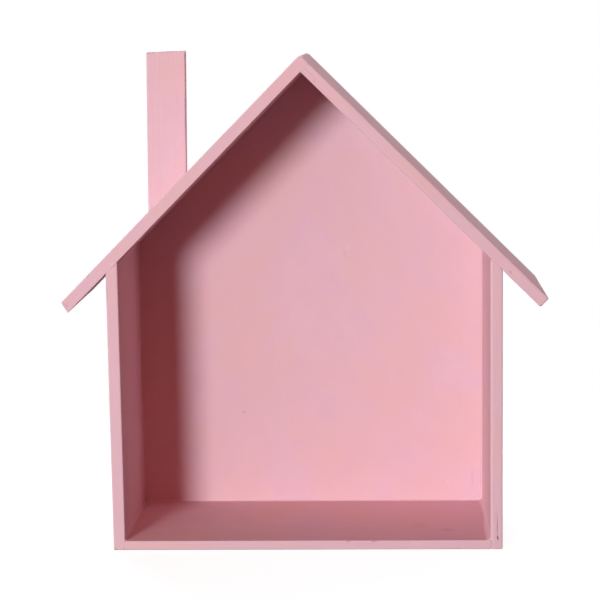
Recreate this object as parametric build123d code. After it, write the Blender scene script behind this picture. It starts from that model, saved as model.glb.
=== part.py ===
from build123d import *
import os
from math import radians, sin, sqrt, tan

# House-shaped wall shelf of painted board: two side walls, a floor, a back panel and a gable roof
# with a flat chimney plank. All sizes are millimetres.
# X runs to the right, Y to the back and Z up. The origin is the middle of the footprint, on the floor.

# Driving sizes of the board box
OUTER_WIDTH = 240.0
WALL_THICKNESS = 7.4
FLOOR_THICKNESS = 5.8
ROOF_THICKNESS = 7.3
PANEL_THICKNESS = 4.0
CUBBY_DEPTH = 98.0
INNER_RIDGE_HEIGHT = 292.6
EAVE_TIP_X = 147.7
LEFT_EAVE_CUT_DEG = 14.0
ARRIS_RADIUS = 0.8

# Driving sizes of the chimney plank, measured at its top end
CHIMNEY_WIDTH = 24.2
CHIMNEY_THICKNESS = 7.3
CHIMNEY_LEFT_X = -97.5
CHIMNEY_LEFT_HEIGHT = 304.7
CHIMNEY_TOP_RISE = 0.8
CHIMNEY_LEAN_DEG = 0.75

# Brads, which are thin nails, set below the paint, and the headed pins of the back panel
BRAD_RADIUS = 0.6
BRAD_SET_DEPTH = 1.0
BRAD_BITE = 12.0
FLOOR_BRAD_INSETS = (18.0, 80.0)
EAVE_BRAD_INSETS = (16.0, 82.0)
EAVE_BRAD_SET_DEPTH = 1.6
RIDGE_BRAD_INSETS = (14.0, 51.0, 88.0)
CHIMNEY_BRAD_BASE_X = (-88.0, -79.0)
CHIMNEY_BRAD_BITE = 10.0
PIN_SHANK_RADIUS = 0.5
PIN_HEAD_RADIUS = 1.1
PIN_HEAD_THICKNESS = 0.7
PIN_LENGTH = 15.0
WALL_PIN_HEIGHTS = (32.0, 100.0, 168.0)
FLOOR_PIN_X = (-70.0, 0.0, 70.0)

# Hangers: a strip of sheet steel folded round the straight bar of a wire ring
HANGER_X = 115.0
HANGER_AXIS_HEIGHT = 158.0
STRAP_SHEET = 0.7
STRAP_WIDTH = 5.6
STRAP_LENGTH = 23.0
STRAP_END_RADIUS = 2.0
RING_WIRE_RADIUS = 0.8
RING_RUNNING_GAP = 0.07
RING_HALF_WIDTH = 4.1
RING_HEIGHT = 10.0
RING_CORNER_RADIUS = 1.2
RING_REST_TILT_DEG = 4.5
SCREW_DROPS = (14.2, 19.6)
SCREW_SHANK_RADIUS = 1.2
SCREW_STRAP_HOLE_RADIUS = 1.35
SCREW_HEAD_RADIUS = 2.2
SCREW_HEAD_THICKNESS = 1.2
SCREW_HEAD_ROUNDING = 0.7
SCREW_LENGTH = 13.0
SCREW_RECESS_LENGTH = 2.4
SCREW_RECESS_WIDTH = 0.55
SCREW_RECESS_DEPTH = 0.7

# Wall bumpers: round rubber pads stuck on the lower corners of the back panel
BUMPER_X = 110.0
BUMPER_HEIGHT = 12.0
BUMPER_RADIUS = 4.0
BUMPER_THICKNESS = 3.0
BUMPER_ROUNDING = 0.8

# Sizes that follow from the driving sizes
HALF_WIDTH = OUTER_WIDTH / 2
INNER_HALF_WIDTH = HALF_WIDTH - WALL_THICKNESS
ROOF_DEPTH = CUBBY_DEPTH + PANEL_THICKNESS
ROOF_STEP = ROOF_THICKNESS * sqrt(2)
ROOF_SIDE = ROOF_THICKNESS / sqrt(2)
OUTER_RIDGE_HEIGHT = INNER_RIDGE_HEIGHT + ROOF_STEP
WALL_OUTER_HEIGHT = INNER_RIDGE_HEIGHT - HALF_WIDTH
WALL_INNER_HEIGHT = INNER_RIDGE_HEIGHT - INNER_HALF_WIDTH
WALL_MIDDLE_X = HALF_WIDTH - WALL_THICKNESS / 2
STRAP_THICKNESS = 2 * STRAP_SHEET
BARREL_BORE_RADIUS = RING_WIRE_RADIUS + RING_RUNNING_GAP
BARREL_RADIUS = BARREL_BORE_RADIUS + STRAP_SHEET
RING_PROUD = BARREL_RADIUS + RING_HEIGHT * sin(radians(RING_REST_TILT_DEG)) + RING_WIRE_RADIUS
OVERALL_DEPTH = ROOF_DEPTH + max(RING_PROUD, 2 * BARREL_RADIUS, BUMPER_THICKNESS)
FRONT_Y = -OVERALL_DEPTH / 2
PANEL_FRONT_Y = FRONT_Y + CUBBY_DEPTH
PANEL_REAR_Y = FRONT_Y + ROOF_DEPTH
CHIMNEY_FRONT_Y = FRONT_Y + (ROOF_DEPTH - CHIMNEY_THICKNESS) / 2
CHIMNEY_MIDDLE_Y = CHIMNEY_FRONT_Y + CHIMNEY_THICKNESS / 2

# How near an edge has to pass to a point to count as the edge that is meant
EDGE_TOLERANCE = 0.0001


def slab(points, front, depth):
    """Board with the given outline, as seen from the front, running back from a front plane."""
    face = make_face(Polyline(*[(x, front, z) for x, z in points], close=True))
    return extrude(face, amount=depth, dir=(0, 1, 0))


def edges_through(board, *points):
    """Edges of a board that pass through the given points."""
    return [
        edge
        for edge in board.edges()
        for point in points
        if edge.distance_to(Vector(*point)) < EDGE_TOLERANCE
    ]


def rod(start, direction, length, radius):
    """Round bar from a start point along a direction."""
    return extrude(Plane(origin=start, z_dir=direction) * Circle(radius), amount=length)


def group(pieces):
    """Separate solids that share one node."""
    return Compound([solid for piece in pieces for solid in piece.solids()])


def drilled(board, *fasteners):
    """Board with a hole for each fastener that runs through it."""
    for fastener in fasteners:
        board = board - fastener
    return board


# Fasteners

def floor_brads(side):
    """Brads through a side wall into the end of the floor, on side -1 or 1."""
    start_x = side * (HALF_WIDTH - BRAD_SET_DEPTH)
    length = WALL_THICKNESS - BRAD_SET_DEPTH + BRAD_BITE
    return [
        rod((start_x, FRONT_Y + inset, FLOOR_THICKNESS / 2), (-side, 0, 0), length, BRAD_RADIUS)
        for inset in FLOOR_BRAD_INSETS
    ]


def eave_brads(side):
    """Upright brads through a roof board into the top of a side wall."""
    top = OUTER_RIDGE_HEIGHT - WALL_MIDDLE_X - EAVE_BRAD_SET_DEPTH
    length = ROOF_STEP - EAVE_BRAD_SET_DEPTH + BRAD_BITE
    return [
        rod((side * WALL_MIDDLE_X, FRONT_Y + inset, top), (0, 0, -1), length, BRAD_RADIUS)
        for inset in EAVE_BRAD_INSETS
    ]


def ridge_brads():
    """Brads through the lapping left roof board into the end of the right one."""
    lap = (ROOF_THICKNESS - BRAD_SET_DEPTH) / sqrt(2)
    start_x = ROOF_SIDE / 2 - lap
    start_z = INNER_RIDGE_HEIGHT + ROOF_SIDE / 2 + lap
    length = ROOF_THICKNESS - BRAD_SET_DEPTH + BRAD_BITE
    return [
        rod((start_x, FRONT_Y + inset, start_z), (1, 0, -1), length, BRAD_RADIUS)
        for inset in RIDGE_BRAD_INSETS
    ]


def chimney_brads():
    """Brads from the underside of the left roof board into the sloping foot of the chimney."""
    lap = (ROOF_THICKNESS - BRAD_SET_DEPTH) / sqrt(2)
    length = ROOF_THICKNESS - BRAD_SET_DEPTH + CHIMNEY_BRAD_BITE
    return [
        rod((x + lap, CHIMNEY_MIDDLE_Y, OUTER_RIDGE_HEIGHT + x - lap), (-1, 0, 1), length, BRAD_RADIUS)
        for x in CHIMNEY_BRAD_BASE_X
    ]


def panel_pin(x, z):
    """Headed pin driven from behind, its head flush with the back panel."""
    head = rod((x, PANEL_REAR_Y, z), (0, -1, 0), PIN_HEAD_THICKNESS, PIN_HEAD_RADIUS)
    shank = rod((x, PANEL_REAR_Y, z), (0, -1, 0), PIN_LENGTH, PIN_SHANK_RADIUS)
    return head + shank


def wall_pins(side):
    """Pins of the back panel along one side wall."""
    return [panel_pin(side * WALL_MIDDLE_X, z) for z in WALL_PIN_HEIGHTS]


def floor_pins():
    """Pins of the back panel along the floor."""
    return [panel_pin(x, FLOOR_THICKNESS / 2) for x in FLOOR_PIN_X]


def screw_heights():
    """Heights of the two screws of a hanger."""
    return [HANGER_AXIS_HEIGHT - drop for drop in SCREW_DROPS]


def hanger_screw(side, z):
    """Round-headed screw with a cross recess, through a strap and the panel into a wall."""
    seat_y = PANEL_REAR_Y + STRAP_THICKNESS
    crown_y = seat_y + SCREW_HEAD_THICKNESS
    head = rod((side * HANGER_X, seat_y, z), (0, 1, 0), SCREW_HEAD_THICKNESS, SCREW_HEAD_RADIUS)
    head = fillet(head.faces().sort_by(Axis.Y)[-1].edges(), SCREW_HEAD_ROUNDING)
    shank = rod((side * HANGER_X, seat_y, z), (0, -1, 0), SCREW_LENGTH, SCREW_SHANK_RADIUS)
    recess_at = Pos(side * HANGER_X, crown_y - SCREW_RECESS_DEPTH / 2, z)
    recess = Box(SCREW_RECESS_LENGTH, SCREW_RECESS_DEPTH, SCREW_RECESS_WIDTH)
    recess += Box(SCREW_RECESS_WIDTH, SCREW_RECESS_DEPTH, SCREW_RECESS_LENGTH)
    return head + shank - recess_at * recess


def hanger_screws(side):
    """Both screws of the hanger on one side."""
    return [hanger_screw(side, z) for z in screw_heights()]


# Boards

def side_wall(side):
    """Upright board with its top bevelled to lie under the roof board."""
    outline = [
        (side * HALF_WIDTH, 0),
        (side * INNER_HALF_WIDTH, 0),
        (side * INNER_HALF_WIDTH, WALL_INNER_HEIGHT),
        (side * HALF_WIDTH, WALL_OUTER_HEIGHT),
    ]
    board = slab(outline, FRONT_Y, CUBBY_DEPTH)
    middle = WALL_OUTER_HEIGHT / 2
    arrises = edges_through(
        board,
        (side * HALF_WIDTH, FRONT_Y, middle),
        (side * INNER_HALF_WIDTH, FRONT_Y, middle),
        (side * HALF_WIDTH, FRONT_Y + CUBBY_DEPTH / 2, 0),
    )
    board = fillet(arrises, ARRIS_RADIUS)
    return drilled(board, *floor_brads(side), *eave_brads(side), *wall_pins(side), *hanger_screws(side))


def floor_board():
    """Shelf floor, held between the side walls."""
    outline = [
        (-INNER_HALF_WIDTH, 0),
        (INNER_HALF_WIDTH, 0),
        (INNER_HALF_WIDTH, FLOOR_THICKNESS),
        (-INNER_HALF_WIDTH, FLOOR_THICKNESS),
    ]
    board = slab(outline, FRONT_Y, CUBBY_DEPTH)
    board = fillet(edges_through(board, (0, FRONT_Y, 0), (0, FRONT_Y, FLOOR_THICKNESS)), ARRIS_RADIUS)
    return drilled(board, *floor_brads(-1), *floor_brads(1), *floor_pins())


def back_panel():
    """Thin house-shaped panel, nailed over the back edges of the walls and floor, under the roof."""
    outline = [
        (-HALF_WIDTH, 0),
        (HALF_WIDTH, 0),
        (HALF_WIDTH, WALL_OUTER_HEIGHT),
        (0, INNER_RIDGE_HEIGHT),
        (-HALF_WIDTH, WALL_OUTER_HEIGHT),
    ]
    panel = slab(outline, PANEL_FRONT_Y, PANEL_THICKNESS)
    pins = wall_pins(-1) + wall_pins(1) + floor_pins()
    return drilled(panel, *pins, *hanger_screws(-1), *hanger_screws(1))


def left_roof_board():
    """Roof board that laps over the right one at the ridge. Its eave is sawn off square."""
    tip_z = OUTER_RIDGE_HEIGHT - EAVE_TIP_X
    foot_x = EAVE_TIP_X - ROOF_SIDE + ROOF_THICKNESS * tan(radians(LEFT_EAVE_CUT_DEG)) / sqrt(2)
    outline = [
        (-EAVE_TIP_X, tip_z),
        (-foot_x, INNER_RIDGE_HEIGHT - foot_x),
        (ROOF_SIDE, INNER_RIDGE_HEIGHT + ROOF_SIDE),
        (0, OUTER_RIDGE_HEIGHT),
    ]
    board = slab(outline, FRONT_Y, ROOF_DEPTH)
    mid_x = EAVE_TIP_X / 2
    mid_y = FRONT_Y + ROOF_DEPTH / 2
    arrises = edges_through(
        board,
        (-mid_x, FRONT_Y, OUTER_RIDGE_HEIGHT - mid_x),
        (-mid_x, FRONT_Y, INNER_RIDGE_HEIGHT - mid_x),
        (-mid_x, PANEL_REAR_Y, OUTER_RIDGE_HEIGHT - mid_x),
        (-EAVE_TIP_X, mid_y, tip_z),
        (-foot_x, mid_y, INNER_RIDGE_HEIGHT - foot_x),
        (0, mid_y, OUTER_RIDGE_HEIGHT),
    )
    board = fillet(arrises, ARRIS_RADIUS)
    return drilled(board, *eave_brads(-1), *ridge_brads(), *chimney_brads())


def right_roof_board():
    """Roof board whose upper end butts against the underside of the left one."""
    tip_z = OUTER_RIDGE_HEIGHT - EAVE_TIP_X
    foot_x = EAVE_TIP_X - ROOF_SIDE
    outline = [
        (0, INNER_RIDGE_HEIGHT),
        (foot_x, INNER_RIDGE_HEIGHT - foot_x),
        (EAVE_TIP_X, tip_z),
        (ROOF_SIDE, INNER_RIDGE_HEIGHT + ROOF_SIDE),
    ]
    board = slab(outline, FRONT_Y, ROOF_DEPTH)
    mid_x = EAVE_TIP_X / 2
    mid_y = FRONT_Y + ROOF_DEPTH / 2
    arrises = edges_through(
        board,
        (mid_x, FRONT_Y, OUTER_RIDGE_HEIGHT - mid_x),
        (mid_x, FRONT_Y, INNER_RIDGE_HEIGHT - mid_x),
        (mid_x, PANEL_REAR_Y, OUTER_RIDGE_HEIGHT - mid_x),
        (EAVE_TIP_X, mid_y, tip_z),
        (foot_x, mid_y, INNER_RIDGE_HEIGHT - foot_x),
    )
    board = fillet(arrises, ARRIS_RADIUS)
    return drilled(board, *eave_brads(1), *ridge_brads())


def chimney_foot(top_x, top_z):
    """Point where a leaning side of the chimney meets the top of the left roof board."""
    lean = tan(radians(CHIMNEY_LEAN_DEG))
    x = (top_x - (top_z - OUTER_RIDGE_HEIGHT) * lean) / (1 - lean)
    return x, OUTER_RIDGE_HEIGHT + x


def chimney_plank():
    """Flat plank with a sloping foot, standing half way back on the left roof board."""
    left_top = (CHIMNEY_LEFT_X, CHIMNEY_LEFT_HEIGHT)
    right_top = (CHIMNEY_LEFT_X + CHIMNEY_WIDTH, CHIMNEY_LEFT_HEIGHT + CHIMNEY_TOP_RISE)
    outline = [chimney_foot(*left_top), chimney_foot(*right_top), right_top, left_top]
    plank = slab(outline, CHIMNEY_FRONT_Y, CHIMNEY_THICKNESS)
    mid_z = CHIMNEY_LEFT_HEIGHT + CHIMNEY_TOP_RISE / 2
    mid_x = CHIMNEY_LEFT_X + CHIMNEY_WIDTH / 2
    arrises = edges_through(
        plank,
        (mid_x, CHIMNEY_FRONT_Y, mid_z),
        (mid_x, CHIMNEY_FRONT_Y + CHIMNEY_THICKNESS, mid_z),
        (left_top[0], CHIMNEY_MIDDLE_Y, left_top[1]),
        (right_top[0], CHIMNEY_MIDDLE_Y, right_top[1]),
    )
    plank = fillet(arrises, ARRIS_RADIUS)
    return drilled(plank, *chimney_brads())


# Hanging hardware

def barrel_centre(side):
    """Middle of the folded barrel that holds the ring's bar."""
    return Pos(side * HANGER_X, PANEL_REAR_Y + BARREL_RADIUS, HANGER_AXIS_HEIGHT)


def hanger_strap(side):
    """Doubled sheet strip with its fold round the ring's bar and two screw holes."""
    plate = Pos(0, STRAP_THICKNESS / 2, -STRAP_LENGTH / 2) * Box(STRAP_WIDTH, STRAP_THICKNESS, STRAP_LENGTH)
    lower_corners = plate.edges().filter_by(Axis.Y).sort_by(Axis.Z)[:2]
    plate = fillet(lower_corners, STRAP_END_RADIUS)
    strap = Pos(side * HANGER_X, PANEL_REAR_Y, HANGER_AXIS_HEIGHT) * plate
    strap += barrel_centre(side) * Rot(0, 90, 0) * Cylinder(BARREL_RADIUS, STRAP_WIDTH)
    strap -= barrel_centre(side) * Rot(0, 90, 0) * Cylinder(BARREL_BORE_RADIUS, 2 * STRAP_WIDTH)
    for z in screw_heights():
        strap -= rod((side * HANGER_X, PANEL_REAR_Y, z), (0, 1, 0), STRAP_THICKNESS, SCREW_STRAP_HOLE_RADIUS)
    return strap


def ring_path():
    """Centre line of the ring's wire: a straight bar, two corners, two legs and a half circle."""
    bar_end = RING_HALF_WIDTH - RING_CORNER_RADIUS
    bow_start = RING_HALF_WIDTH - RING_HEIGHT
    corner_mid_x = bar_end + RING_CORNER_RADIUS / sqrt(2)
    corner_mid_z = RING_CORNER_RADIUS / sqrt(2) - RING_CORNER_RADIUS
    right_end = (RING_HALF_WIDTH, 0, -RING_CORNER_RADIUS)
    left_end = (-RING_HALF_WIDTH, 0, -RING_CORNER_RADIUS)
    return Wire([
        Line((0, 0, 0), (bar_end, 0, 0)),
        ThreePointArc((bar_end, 0, 0), (corner_mid_x, 0, corner_mid_z), right_end),
        Line(right_end, (RING_HALF_WIDTH, 0, bow_start)),
        ThreePointArc((RING_HALF_WIDTH, 0, bow_start), (0, 0, -RING_HEIGHT), (-RING_HALF_WIDTH, 0, bow_start)),
        Line((-RING_HALF_WIDTH, 0, bow_start), left_end),
        ThreePointArc(left_end, (-corner_mid_x, 0, corner_mid_z), (-bar_end, 0, 0)),
        Line((-bar_end, 0, 0), (0, 0, 0)),
    ])


def hanger_ring(side):
    """Wire ring, hanging down on the strap."""
    section = Plane(origin=(0, 0, 0), z_dir=(1, 0, 0)) * Circle(RING_WIRE_RADIUS)
    ring = sweep(section, path=ring_path())
    return barrel_centre(side) * Rot(RING_REST_TILT_DEG, 0, 0) * ring


def wall_bumper(side):
    """Round rubber pad with a soft outer edge."""
    pad = rod((side * BUMPER_X, PANEL_REAR_Y, BUMPER_HEIGHT), (0, 1, 0), BUMPER_THICKNESS, BUMPER_RADIUS)
    return fillet(pad.faces().sort_by(Axis.Y)[-1].edges(), BUMPER_ROUNDING)


def build_parts():
    """Every node of the shelf, by name."""
    return {
        "left_side_wall": side_wall(-1),
        "right_side_wall": side_wall(1),
        "floor_board": floor_board(),
        "back_panel": back_panel(),
        "left_roof_board": left_roof_board(),
        "right_roof_board": right_roof_board(),
        "chimney_plank": chimney_plank(),
        "left_floor_brads": group(floor_brads(-1)),
        "right_floor_brads": group(floor_brads(1)),
        "left_eave_brads": group(eave_brads(-1)),
        "right_eave_brads": group(eave_brads(1)),
        "ridge_brads": group(ridge_brads()),
        "chimney_brads": group(chimney_brads()),
        "back_panel_pins": group(wall_pins(-1) + wall_pins(1) + floor_pins()),
        "left_hanger_strap": hanger_strap(-1),
        "right_hanger_strap": hanger_strap(1),
        "left_hanger_ring": hanger_ring(-1),
        "right_hanger_ring": hanger_ring(1),
        "hanger_screws": group(hanger_screws(-1) + hanger_screws(1)),
        "left_wall_bumper": wall_bumper(-1),
        "right_wall_bumper": wall_bumper(1),
    }


def main():
    os.makedirs("parts", exist_ok=True)
    for name, shape in build_parts().items():
        export_step(shape, os.path.join("parts", name + ".step"))


if __name__ == "__main__":
    main()
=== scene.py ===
# House-shaped wall shelf of painted board, dressed piece by piece in the order in which it is put together.
# Sizes are in millimetres, and a board's own coordinates run along it, through it and front to back.
from math import atan2, cos, degrees, pi, radians, sin, sqrt, tan

import bpy
import numpy as np
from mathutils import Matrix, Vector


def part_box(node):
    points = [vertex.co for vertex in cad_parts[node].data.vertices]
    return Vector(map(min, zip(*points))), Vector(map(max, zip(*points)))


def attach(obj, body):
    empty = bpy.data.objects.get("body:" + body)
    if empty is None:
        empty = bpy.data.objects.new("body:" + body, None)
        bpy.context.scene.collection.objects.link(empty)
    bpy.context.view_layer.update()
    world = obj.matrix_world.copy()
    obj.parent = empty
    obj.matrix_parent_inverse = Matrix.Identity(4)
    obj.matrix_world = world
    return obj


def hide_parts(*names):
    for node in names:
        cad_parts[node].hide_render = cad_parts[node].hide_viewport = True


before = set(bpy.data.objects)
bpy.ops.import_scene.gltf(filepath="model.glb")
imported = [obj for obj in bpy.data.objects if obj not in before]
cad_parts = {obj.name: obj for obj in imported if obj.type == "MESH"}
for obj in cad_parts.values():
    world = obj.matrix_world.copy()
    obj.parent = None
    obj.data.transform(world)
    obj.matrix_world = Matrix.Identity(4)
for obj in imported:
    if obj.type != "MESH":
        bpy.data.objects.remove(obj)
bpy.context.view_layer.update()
MM = 0.001


# Camera
# A long lens stands a little to the right of the shelf and just above its ridge, and looks slightly down,
# as the photograph was taken.
CAMERA_PLACE = (49.46, -1175.12, 321.0)
CAMERA_TURN_DEG = (81.6318, 0.8588, 2.5060)
CAMERA_LENS = 112.753
CAMERA_SENSOR = 36.0


def photo_camera():
    """Camera at the photograph's place, with its square view."""
    data = bpy.data.cameras.new("photo_camera")
    data.lens = CAMERA_LENS
    data.sensor_width = CAMERA_SENSOR
    data.clip_start = 0.01
    camera = bpy.data.objects.new("photo_camera", data)
    camera.location = [value * MM for value in CAMERA_PLACE]
    camera.rotation_euler = [radians(angle) for angle in CAMERA_TURN_DEG]
    bpy.context.scene.collection.objects.link(camera)
    bpy.context.scene.camera = camera


photo_camera()
bpy.context.scene.view_settings.view_transform = "Standard"


# Studio
# A sheet of white paper lies under the shelf. A round lamp stands low at the front left, and two weak soft
# ones in front fill its shadows. One at the right lights the outer wall, and two behind light the roof's
# slopes and the back. The paper and the air are white to the camera and to gloss.
PAPER_WHITE = "#F4F3F2"
PAPER_BOUNCE = "#5E3F3A"
PAPER_SIZE = 12000.0
PAPER_GLOW = 1.55
PAPER_SHADOW_SHARE = 0.45
PAPER_TOP = -0.05
SHADOW_REACH = (190.0, 420.0)
LAMP_WHITE = "#F4FAFF"
LAMP_WARM_WHITE = "#FF7A55"
LAMP_SOFT_WHITE = "#FFE9DF"
AIR_BELOW, AIR_ABOVE = 0.0, 0.05
AIR_COLOUR = "#FFA58E"
LAMP_AIM = (0.0, 0.0, 150.0)
# A lamp's shape, its size, its azimuth and height in degrees, its distance, its power in watts and its colour
LAMPS = {
    "key_lamp": ("DISK", 822.0, -21.0, 6.4, 3500.0, 108.0, LAMP_WHITE),
    "side_softbox": ("SQUARE", 1460.0, -45.0, 15.0, 2600.0, 9.0, LAMP_SOFT_WHITE),
    "front_softbox": ("SQUARE", 1300.0, 14.0, 34.0, 1900.0, 4.7, LAMP_WARM_WHITE),
    "ridge_softbox": ("SQUARE", 1300.0, 150.0, 60.0, 1700.0, 10.5, LAMP_WHITE),
    "right_softbox": ("SQUARE", 1200.0, 104.0, 4.0, 1900.0, 8.0, LAMP_WHITE),
    "rear_softbox": ("SQUARE", 1200.0, 200.0, 18.0, 1900.0, 34.0, LAMP_WHITE),
}
# Places of the sockets of a Mix node that mixes colours
MIX_FACTOR, MIX_A, MIX_B, MIX_RESULT = 0, 6, 7, 2


def linear(code):
    """Linear colour with full alpha from an sRGB hex value."""
    shares = np.array([int(code[at:at + 2], 16) for at in (1, 3, 5)]) / 255
    values = np.where(shares <= 0.04045, shares / 12.92, ((shares + 0.055) / 1.055) ** 2.4)
    return (*values, 1.0)


def add_node(tree, kind, settings=None, links=None):
    """Adds one shader node. Settings and links go by the name or number of an input, or by a property."""
    node = tree.nodes.new(kind)
    for key, value in (settings or {}).items():
        if isinstance(key, int) or key in node.inputs:
            node.inputs[key].default_value = value
        else:
            setattr(node, key, value)
    for key, socket in (links or {}).items():
        tree.links.new(socket, node.inputs[key])
    return node


def new_material(name):
    """Material with an empty node tree."""
    material = bpy.data.materials.new(name)
    material.use_nodes = True
    material.node_tree.nodes.clear()
    return material


def straight_ray(tree):
    """1 for rays from the camera, in a mirror or through glass, and 0 for light that is scattered."""
    path = add_node(tree, "ShaderNodeLightPath")
    either = add_node(tree, "ShaderNodeMath", {"operation": "MAXIMUM"},
                      {0: path.outputs["Is Camera Ray"], 1: path.outputs["Is Glossy Ray"]})
    any_way = add_node(tree, "ShaderNodeMath", {"operation": "MAXIMUM"},
                       {0: either.outputs[0], 1: path.outputs["Is Transmission Ray"]})
    return any_way.outputs[0]


def studio_paper():
    """Floor of white paper. Near the shelf it takes a soft shadow, and further out it is plain white."""
    material = new_material("white_studio_paper")
    tree = material.node_tree
    matt = add_node(tree, "ShaderNodeBsdfDiffuse", {"Color": linear(PAPER_WHITE)})
    dim = add_node(tree, "ShaderNodeBsdfDiffuse", {"Color": linear(PAPER_BOUNCE)})
    glow = add_node(tree, "ShaderNodeEmission", {"Strength": PAPER_GLOW})
    white = add_node(tree, "ShaderNodeEmission", {"Strength": 1.0})
    shaded = add_node(tree, "ShaderNodeMixShader", {"Fac": PAPER_SHADOW_SHARE},
                      {1: glow.outputs[0], 2: matt.outputs[0]})
    place = add_node(tree, "ShaderNodeTexCoord").outputs["Object"]
    away = add_node(tree, "ShaderNodeVectorMath", {"operation": "LENGTH"}, {0: place}).outputs["Value"]
    far = add_node(tree, "ShaderNodeMapRange",
                   {"From Min": SHADOW_REACH[0] * MM, "From Max": SHADOW_REACH[1] * MM}, {"Value": away})
    seen = add_node(tree, "ShaderNodeMixShader", {},
                    {"Fac": far.outputs[0], 1: shaded.outputs[0], 2: white.outputs[0]})
    surface = add_node(tree, "ShaderNodeMixShader", {},
                       {"Fac": straight_ray(tree), 1: dim.outputs[0], 2: seen.outputs[0]})
    add_node(tree, "ShaderNodeOutputMaterial", {}, {"Surface": surface.outputs[0]})
    half = PAPER_SIZE / 2 * MM
    top = PAPER_TOP * MM
    mesh = bpy.data.meshes.new("studio_paper")
    mesh.from_pydata([(-half, -half, top), (half, -half, top), (half, half, top), (-half, half, top)], [],
                     [(0, 1, 2, 3)])
    mesh.materials.append(material)
    paper = bpy.data.objects.new("studio_paper", mesh)
    bpy.context.scene.collection.objects.link(paper)


def studio_air():
    """World that is white to the camera and lights the object dimly, more from above."""
    world = bpy.data.worlds.new("studio_air")
    world.use_nodes = True
    tree = world.node_tree
    tree.nodes.clear()
    way = add_node(tree, "ShaderNodeTexCoord")
    parts = add_node(tree, "ShaderNodeSeparateXYZ", {}, {0: way.outputs["Generated"]})
    level = add_node(tree, "ShaderNodeMapRange",
                     {"From Min": 0.0, "From Max": 1.0, "To Min": AIR_BELOW, "To Max": AIR_ABOVE},
                     {"Value": parts.outputs["Z"]})
    dim = add_node(tree, "ShaderNodeBackground", {"Color": linear(AIR_COLOUR)},
                   {"Strength": level.outputs[0]})
    white = add_node(tree, "ShaderNodeBackground", {"Color": (1, 1, 1, 1)})
    both = add_node(tree, "ShaderNodeMixShader", {},
                    {"Fac": straight_ray(tree), 1: dim.outputs[0], 2: white.outputs[0]})
    add_node(tree, "ShaderNodeOutputWorld", {}, {"Surface": both.outputs[0]})
    bpy.context.scene.world = world


def lamp(name, shape, size, azimuth, height, distance, power, colour):
    """Flat lamp that faces the middle of the shelf. Its azimuth is counted from the front to the right."""
    level = cos(radians(height))
    away = np.array((sin(radians(azimuth)) * level, -cos(radians(azimuth)) * level, sin(radians(height))))
    data = bpy.data.lights.new(name, "AREA")
    data.shape = shape
    data.size = size * MM
    data.energy = power
    data.color = linear(colour)[:3]
    place = np.array(LAMP_AIM) + away * distance
    lamp_object = bpy.data.objects.new(name, data)
    lamp_object.location = place * MM
    lamp_object.rotation_euler = Vector(away).to_track_quat("Z", "Y").to_euler()
    bpy.context.scene.collection.objects.link(lamp_object)


studio_paper()
studio_air()
for lamp_name, lamp_values in LAMPS.items():
    lamp(lamp_name, *lamp_values)


# Side walls
# Two boards of medium fibreboard, sawn square, their tops bevelled to lie under the roof. The saw edges are
# broken with sandpaper, and every board is brushed along its length with two coats of matt pink paint.
PINK = "#E1B9C1"
COOL_PINK = "#DDB4C2"
WARM_PINK = "#E2B5B6"
THIN_PINK = "#E8C7CD"
# Dark colour of grime, and of the painted shade in two marks
GRIME_AND_PAINTED_SHADE = "#5C3A3D"
FIBREBOARD = "#BF9C7C"
PAINT_IOR = 1.5
PAINT_ROUGHNESS = (0.58, 0.68)
PAINT_GLOSS_LEVEL = 0.06
STREAK_LENGTH, STREAK_WIDTH = 42.0, 1.0
CLOUD_SIZE = 17.0
BLOOM_SIZE = 40.0
TOOTH_SIZE = 0.8
NIB_SPACING = 9.0
NIB_RADIUS = 0.8
NIB_RELIEF = 0.12
STREAK_RELIEF = 0.028
TOOTH_RELIEF = 0.012
THIN_SHARE = 0.25
ARRIS = 0.8
JOINT_ARRIS = 0.15
SOFT_ARRIS = 2.0
ARRIS_STEPS = 4
LIP = 0.15
WAVE_LENGTH = 34.0
WAVE_HEIGHT = 0.05
ARRIS_WAVE = 2.5
NOISE_CONTRAST = (0.32, 0.68)
WAVE_COUNT = 5
WAVE_SPREAD = (0.6, 1.8)
WAVE_SCALE = 3
FACE_WAVE = 0.3
MARK_RINGS = (-1.6, -1, -0.5, 0, 0.5, 1, 1.6)
ALONG, THROUGH, BACK = 1.6, 0.6, 2.4
SIDES = {"left": -1, "right": 1}


def node_corners(node_name):
    """Lowest and highest corner of a CAD node, in millimetres."""
    return [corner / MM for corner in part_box(node_name)]


floor_low, floor_high = node_corners("floor_board")
panel_low, panel_high = node_corners("back_panel")
front = floor_low.y
half_width = panel_high.x
wall_thickness = half_width - floor_high.x
inner_ridge = panel_high.z
wall_outer_height = inner_ridge - half_width
cubby_depth = panel_low.y - front


def ticks(length, low, high, step, gathered=()):
    """Places along one side of a block: close in each rounding, even between, and more at each mark."""
    start = low * np.linspace(0, 1, ARRIS_STEPS + 1)
    end = length - high * np.linspace(1, 0, ARRIS_STEPS + 1)
    first, last = low + LIP, length - high - LIP
    middle = np.linspace(first, last, max(2, int(round((last - first) / step)) + 1))
    near = [centre + reach * ring for centre, reach in gathered for ring in MARK_RINGS]
    near = [place for place in near if first < place < last]
    return np.unique(np.round(np.concatenate([start, middle, near, end]), 4))


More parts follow.
